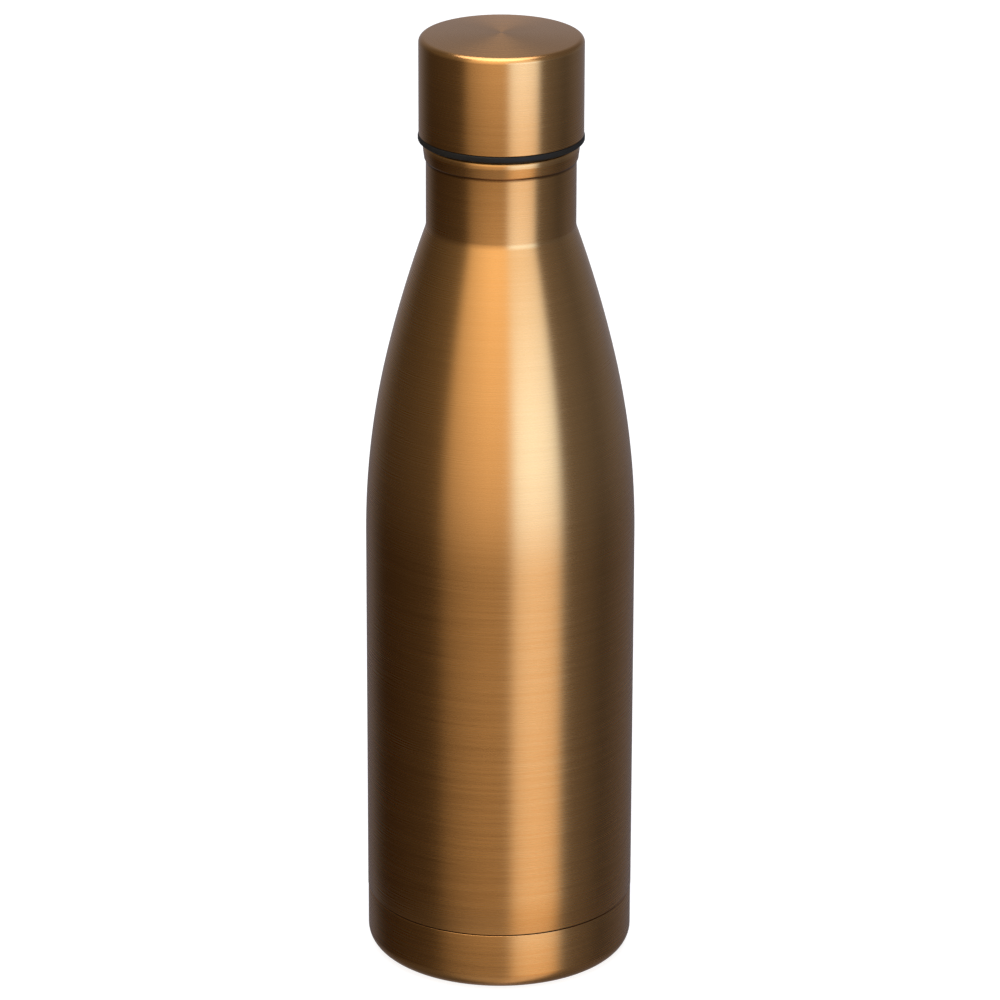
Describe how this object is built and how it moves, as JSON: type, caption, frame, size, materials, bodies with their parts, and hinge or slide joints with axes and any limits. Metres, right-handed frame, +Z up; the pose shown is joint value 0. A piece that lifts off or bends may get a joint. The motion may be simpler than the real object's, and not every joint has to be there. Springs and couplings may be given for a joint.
{
  "type": "water bottle",
  "caption": "Slim vacuum-insulated water bottle in brushed copper: tall straight body, long tapered shoulder, narrow beaded neck, and a cylindrical metal screw cap over a black stopper.",
  "frame": {"origin": "centre of the ring that the bottle stands on, at floor height", "axes": "+Z up along the bottle's axis, from the floor to the cap"},
  "size_m": [0.0728, 0.0728, 0.26],
  "materials": {
    "copper_finish": "satin",
    "plain_steel": "satin",
    "copper_foil": "satin",
    "braze": "satin",
    "getter": "matte",
    "black_plastic": "matte",
    "foam": "matte",
    "black_rubber": "matte"
  },
  "bodies": {
    "bottle": {"outer_shell": "copper_finish", "inner_vessel": "plain_steel", "inner_bottom": "plain_steel", "copper_foil": "copper_foil", "outer_bottom": "plain_steel", "seal_pellet": "braze", "getter_pill": "getter", "getter_strap": "plain_steel", "base_cup": "copper_finish"},
    "gasket": {"gasket": "black_rubber"},
    "cap": {"cap_shell": "copper_finish", "stopper": "black_plastic", "foam_core": "foam", "inner_lid": "black_plastic"}
  },
  "joints": [
    {"name": "cap_rise", "type": "slide", "parent": "bottle", "child": "gasket", "axis": [0, 0, 1], "range_m": [0, 0.0201]},
    {"name": "cap_turn", "type": "hinge", "parent": "gasket", "child": "cap", "pos_m": [0, 0, 0.23145], "axis": [0, 0, 1], "range_deg": [0, 1800]}
  ],
  "couplings": [
    {"joint": "cap_rise", "follows": "cap_turn", "m_per_rad": 0.00063662}
  ]
}
